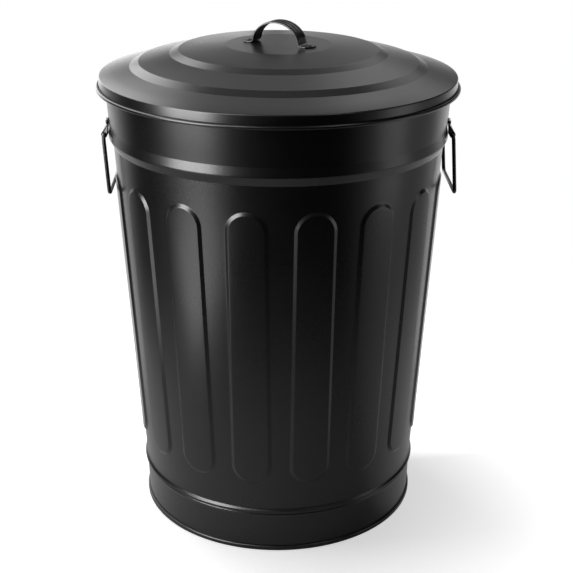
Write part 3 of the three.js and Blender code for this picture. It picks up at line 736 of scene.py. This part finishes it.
ear = {
    "sheet": 1.1, "play": 0.4, "pin": 2.5, "rise": 20.5, "width": 17.0, "topWidth": 9.0,
    "topRound": 2.0, "tip": 2.6, "tipLength": 7.5, "rivetDrop": 5.0, "gap": 0.3,
    "offset": 37.5, "standOff": 1.3, "cuts": 20, "seatStart": 3.0,
    "seatLength": 8.0, "hoodTaper": 2.4, "cheekInset": 0.5, "neckRound": 4.0, "round": 0.25,
}
hinge = (bandRadius(530) + wall["swageRise"] + ear["standOff"], 530.5)
ears = [("left", "front", -1, 1), ("left", "back", -1, -1),
        ("right", "front", 1, -1), ("right", "back", 1, 1)]


def onSide(hand):  # the left side is the right one turned half round
    return Matrix.Rotation(0 if hand > 0 else math.pi, 4, "Z")


def makeEar(name, node, hand, y0):
    rise, width = ear["rise"], ear["width"]
    rivetZ = hinge[1] + rise - ear["rivetDrop"]
    face = math.sqrt(bandRadius(rivetZ) ** 2 - y0 ** 2) - hinge[0] + ear["gap"]
    back = face + ear["sheet"] / 2
    front = face + ear["tip"] - ear["sheet"] / 2
    loop = ear["pin"] + ear["play"] + ear["sheet"] / 2
    meet = rise - ear["tipLength"]
    tangent = math.degrees(math.atan2(meet, front) - math.acos(loop / math.hypot(front, meet)))
    line = [(back, rise), (back, (rise + meet) / 2), (back, meet)]
    line += arcPoints((0, 0), loop, 180, 360 + tangent, 26)
    line += [(front, meet), (front, (rise + meet) / 2), (front, rise)]
    line = filleted(line, {2: ear["neckRound"], len(line) - 3: ear["neckRound"]}, steps=4)
    startVertex(line[0])
    extrudeLine(line)
    bpy.ops.mesh.select_all(action="SELECT")
    for _ in range(ear["cuts"]):
        bpy.ops.mesh.extrude_edges_move(
            TRANSFORM_OT_translate={"value": (0, width / ear["cuts"] * mm, 0)})
    piece = namePiece(name)
    bpy.ops.object.mode_set(mode="OBJECT")

    # the cheeks close the hood above the pin, at both ends
    hole = ear["pin"] + ear["play"]
    cheek = [(back, meet), (-loop, 0)] + arcPoints((0, 0), hole, 180, 0, 12)
    cheek += arcPoints((0, 0), loop, 0, tangent, 5) + [(front, meet)]
    startVertex(cheek[0])
    extrudeLine(cheek)
    bpy.ops.mesh.select_all(action="SELECT")
    bpy.ops.mesh.edge_face_add()
    inset = ear["sheet"] / 2 + ear["cheekInset"]
    bpy.ops.transform.translate(value=(0, inset * mm, 0))
    bpy.ops.mesh.duplicate_move(
        TRANSFORM_OT_translate={"value": (0, (width - 2 * inset) * mm, 0)})
    bpy.ops.object.mode_set(mode="OBJECT")
    piece.select_set(True)
    bpy.context.view_layer.objects.active = piece
    bpy.ops.object.join()
    edit()

    def form(p):
        x, z = p.x / mm, p.z / mm
        straight = min(max((z - ear["pin"]) / (rise - ear["topRound"] - ear["pin"]), 0), 1)
        half = width / 2 + (ear["topWidth"] - width) / 2 * straight
        over = max(z - (rise - ear["topRound"]), 0)
        half -= ear["topRound"] - math.sqrt(max(ear["topRound"] ** 2 - over ** 2, 0))
        half -= ear["hoodTaper"] * min(max((x + loop) / (2 * loop), 0), 1)
        y = y0 + (p.y / mm / width * 2 - 1) * half
        radius = bandRadius(hinge[1] + z)
        bent = math.sqrt(radius ** 2 - y ** 2) - math.sqrt(radius ** 2 - y0 ** 2)
        t = min(max((z - ear["seatStart"]) / ear["seatLength"], 0), 1)
        return Vector(((hinge[0] + x + bent * t * t * (3 - 2 * t)) * mm, y * mm,
                       (hinge[1] + z) * mm))
    bpy.ops.mesh.select_all(action="SELECT")
    moveChosen(form)
    faceOut()
    thicken(piece, ear["sheet"] * mm)
    roundEdges(piece, ear["round"] * mm, 2, 50)
    piece.data.transform(onSide(hand))
    settle(piece, 40)
    piece.data.materials.append(strapCoat)
    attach(piece, "can")
    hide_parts(node)


def makeEarRivet(name, node, hand, y0):
    height = hinge[1] + ear["rise"] - ear["rivetDrop"]
    radius = bandRadius(height)
    around = math.asin(y0 / radius)
    out = Vector((math.cos(around), math.sin(around), -wall["taper"])).normalized()
    seat = Vector((radius * math.cos(around), y0, height)) - out * 2 * halfSheet
    grip = 2 * halfSheet + ear["gap"] + ear["tip"]
    side = onSide(hand)
    makeRivet(name, node, "can", earRivet, grip, side @ (seat * mm), side.to_3x3() @ out)


for side, end, hand, way in ears:
    label = side.title() + end.title()
    makeEar("ear" + label, f"ear_{side}_{end}", hand, way * ear["offset"])
    makeEarRivet("earRivet" + label, f"ear_rivet_{side}_{end}", hand, way * ear["offset"])
print("ears and rivets made")


# wire handles: one round section, extruded along the straights and spun round the bends

bail = {
    "radius": 2.5, "width": 105.0, "drop": 75.5, "gripBend": 6.0, "endBend": 6.0,
    "pinEnd": 28.0, "leanLeft": 3.2, "leanRight": -4.1, "sides": 24, "endSteps": 10,
    "gripSteps": 12, "gripCuts": 4,
}


def makeBail(name, node, body, hand, lean):
    half, drop = bail["width"] / 2, bail["drop"]
    grip, end = bail["gripBend"], bail["endBend"]
    letGo()
    bpy.ops.mesh.primitive_circle_add(
        vertices=bail["sides"], radius=bail["radius"] * mm, fill_type="NGON",
        rotation=(math.pi / 2, 0, 0), location=(0, -bail["pinEnd"] * mm, 0))
    bpy.ops.object.transform_apply(location=True, rotation=True, scale=True)
    piece = namePiece(name)
    edit()
    bpy.ops.mesh.select_all(action="SELECT")

    def run(y, z):
        bpy.ops.mesh.extrude_region_move(TRANSFORM_OT_translate={"value": (0, y * mm, z * mm)})

    def turn(y, z, angle, steps):
        bpy.ops.mesh.spin(steps=steps, angle=-math.radians(angle), center=(0, y * mm, z * mm),
                          axis=(1, 0, 0))
    run(-(half - end - bail["pinEnd"]), 0)
    turn(-half + end, -end, 90, bail["endSteps"])
    run(0, -(drop - end - grip))
    turn(-half + grip, -drop + grip, 90, bail["gripSteps"])
    for _ in range(bail["gripCuts"]):
        run((2 * half - 2 * grip) / bail["gripCuts"], 0)
    turn(half - grip, -drop + grip, 90, bail["gripSteps"])
    run(0, drop - end - grip)
    turn(half - end, -end, 90, bail["endSteps"])
    run(-(half - end - bail["pinEnd"]), 0)
    faceOut()
    bpy.ops.object.mode_set(mode="OBJECT")
    tilt = Matrix.Rotation(math.radians(lean), 4, "Y")
    place = Matrix.Translation((hinge[0] * mm, 0, hinge[1] * mm))
    piece.data.transform(onSide(hand) @ place @ tilt)
    settle(piece, 40)
    piece.data.materials.append(wireCoat)
    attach(piece, body)
    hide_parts(node)


makeBail("bailLeft", "bail_left", "left_handle", -1, bail["leanLeft"])
makeBail("bailRight", "bail_right", "right_handle", 1, bail["leanRight"])
print("handles made")

for node in ("can_rim_wire", "lid_rim_wire", "lid_washer_left", "lid_washer_right"):
    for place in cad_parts[node].material_slots:
        place.material = plainSteel


# floor, backdrop, lamps and camera

studio = {
    "floor": 0.8, "floorFarPaintedShade": 0.01, "floorSize": 60.0, "world": 0.03,
    "paperNear": 0.3, "paperFar": 1.1, "glow": 0.6, "glowNear": 0.16, "glowFar": 0.5,
    "mirrorBack": 1.2, "backStart": 0.3, "backEnd": 0.85,
    "mirrorSide": 0.32, "sideStart": 0.65, "sideEnd": 0.97, "mirrorNear": 0.1,
    "glowOverShadowStart": -0.04, "glowOverShadowEnd": 0.11,
    "cameraTurn": -0.75, "eye": (0.0, -1.5784, 0.9404), "pitch": 0.38352, "yaw": 0.03105,
    "roll": 0.01243, "focal": 1229.396, "middleX": 314.25, "frame": 573.0,
}
lamps = [  # name, place, aim, size, radiance, whether it lights more than gloss
    ("leftKey", (-1.13, -0.82, 0.86), (0, 0, 0.7), (0.75, 1.3), 12.5, False),
    ("leftFloor", (-0.81, -0.59, 0.02), (-0.81, -0.59, 1.0), (0.5, 0.5), 3.0, False),
    ("leftSide", (-1.5, 0.3, 1.9), (0, 0, 0.3), (1.8, 1.1), 4.2, True),
    ("leftBack", (-1.33, 1.75, 1.5), (0, 0, 0.6), (1.25, 1.8), 3.3, True),
    ("backLowLeft", (-0.9, 2.2, 0.5), (-0.9, 0, 0.5), (1.7, 0.9), 1.5, False),
    ("backLowRight", (1.0, 2.2, 0.5), (1.0, 0, 0.5), (1.9, 0.9), 0.5, False),
    ("backMiddle", (0.1, 2.3, 1.3), (0.1, 0, 0.8), (1.1, 0.9), 0.3, False),
    ("topPanel", (0.0, 1.9, 2.6), (0, 0, 0.6), (1.6, 1.2), 0.6, True),
    ("rightBack", (1.0, 1.9, 2.0), (0, 0, 0.6), (1.2, 1.2), 0.95, True),
    ("rightLow", (1.25, -0.36, 0.45), (0, 0, 0.4), (0.5, 0.9), 1.0, False),
    ("overhead", (0.0, 0.5, 3.0), (0, 0, 0.6), (1.6, 1.0), 0.35, False),
    ("edgeLeft", (-0.9, -1.2, 2.5), (0, 0, 0.6), (0.6, 0.6), 14.0, False),
    ("edgeRight", (1.1, -1.1, 2.5), (0, 0, 0.6), (0.6, 0.6), 6.0, False),
]


def makeStage():  # a white sheet that the lamps light near the can; its colour darkens further out, painted shade, and it glows, painted light
    letGo()
    bpy.ops.mesh.primitive_plane_add(size=studio["floorSize"], location=(0, 0, 0))
    floor = namePiece("studioFloor")
    make = Finish("studioPaper")
    place = make.node("TexCoord", output=3)
    fibre = make.node("TexNoise", sockets={"Vector": place, "Scale": 300.0, "Detail": 2.0})
    away = make.node("VectorMath", {"operation": "LENGTH"}, {0: place}, output=1)
    heading = make.node("VectorMath", {"operation": "NORMALIZE"}, {0: place})

    def ramp(value, start, end, low=0.0, high=1.0):
        return make.node("MapRange", {"interpolation_type": "SMOOTHSTEP"}, {
            "Value": value, "From Min": start, "From Max": end, "To Min": low, "To Max": high})

    def along(vector, axis):
        return make.node("SeparateXYZ", sockets={"Vector": vector}, output=axis)

    def larger(one, other):
        return make.node("Math", {"operation": "MAXIMUM"}, {0: one, 1: other})
    # painted shade: the paper's colour darkens from near the can to far out, standing in for the
    # lamps' light falling off
    fade = ramp(away, studio["paperNear"], studio["paperFar"])
    paperPaintedShade = make.node("Mix", {"data_type": "RGBA"}, {
        0: fade, 6: grey(studio["floor"]), 7: grey(studio["floorFarPaintedShade"])}, output=2)

    # what the camera sees: the paper glows, painted light, full white away from the can and
    # behind it, where it paints over the can's shadow, and dimmer near the can, where its shadow
    # shows
    seen = make.node("LightPath", output=0)
    white = larger(ramp(away, studio["glowNear"], studio["glowFar"], studio["glow"], 1.0),
                   ramp(along(place, 1), studio["glowOverShadowStart"], studio["glowOverShadowEnd"]))

    # what the coating mirrors: a glow seen only in reflections, a painted reflection, bright
    # behind, dimmer at the right and faint near the can
    mirrored = make.node("LightPath", output=3)
    behind = ramp(along(heading, 1), studio["backStart"], studio["backEnd"],
                  0.0, studio["mirrorBack"])
    beside = ramp(along(heading, 0), studio["sideStart"], studio["sideEnd"],
                  0.0, studio["mirrorSide"])
    near = ramp(away, studio["paperNear"], studio["paperFar"], studio["mirrorNear"], 0.0)
    glow = seen * white + mirrored * larger(larger(behind, beside), near)
    floor.data.materials.append(make.finish(make.node("BsdfPrincipled", sockets={
        "Base Color": paperPaintedShade, "Roughness": 0.8 + fibre * 0.1, "Specular IOR Level": 0.0,
        "Emission Color": glow, "Emission Strength": 1.0})))


def makeLamp(name, place, aim, size, radiance, lightsAll):
    data = bpy.data.lights.new(name, "AREA")
    data.shape = "RECTANGLE"
    data.size, data.size_y = size
    data.energy = radiance * math.pi * size[0] * size[1]
    lamp = bpy.data.objects.new(name, data)
    bpy.context.scene.collection.objects.link(lamp)
    lamp.location = place
    lamp.rotation_euler = (Vector(aim) - Vector(place)).to_track_quat("-Z", "Y").to_euler()
    lamp.visible_camera = False
    lamp.visible_diffuse = lightsAll


def makeWorld():
    world = bpy.data.worlds.new("studio")
    bpy.context.scene.world = world
    world.use_nodes = True
    tree = world.node_tree
    tree.nodes.clear()
    rays = tree.nodes.new("ShaderNodeLightPath")
    dim = tree.nodes.new("ShaderNodeBackground")
    dim.inputs["Color"].default_value = grey(1)
    dim.inputs["Strength"].default_value = studio["world"]
    white = tree.nodes.new("ShaderNodeBackground")
    white.inputs["Color"].default_value = grey(1)
    white.inputs["Strength"].default_value = 1.0
    mix = tree.nodes.new("ShaderNodeMixShader")
    out = tree.nodes.new("ShaderNodeOutputWorld")
    tree.links.new(rays.outputs["Is Camera Ray"], mix.inputs[0])
    tree.links.new(dim.outputs[0], mix.inputs[1])
    tree.links.new(white.outputs[0], mix.inputs[2])
    tree.links.new(mix.outputs[0], out.inputs["Surface"])


def makeCamera():
    data = bpy.data.cameras.new("photoCamera")
    camera = bpy.data.objects.new("photoCamera", data)
    bpy.context.scene.collection.objects.link(camera)
    pitch, yaw, roll = studio["pitch"], studio["yaw"], studio["roll"]
    ahead = Vector((math.sin(yaw) * math.cos(pitch), math.cos(yaw) * math.cos(pitch),
                    -math.sin(pitch)))
    right = Vector((math.cos(yaw), -math.sin(yaw), 0))
    up = right.cross(ahead)
    right, up = (right * math.cos(roll) + up * math.sin(roll),
                 up * math.cos(roll) - right * math.sin(roll))
    pose = Matrix((right, up, -ahead)).transposed().to_4x4()
    pose.translation = Vector(studio["eye"])
    camera.matrix_world = Matrix.Rotation(math.radians(studio["cameraTurn"]), 4, "Z") @ pose
    data.sensor_width = 36.0
    data.lens = studio["focal"] / studio["frame"] * data.sensor_width
    data.shift_x = 0.5 - studio["middleX"] / studio["frame"]
    data.clip_end = 50
    bpy.context.scene.camera = camera


makeStage()
makeWorld()
makeCamera()
for lamp in lamps:
    makeLamp(*lamp)
bpy.context.scene.view_settings.view_transform = "Standard"
print("studio made")
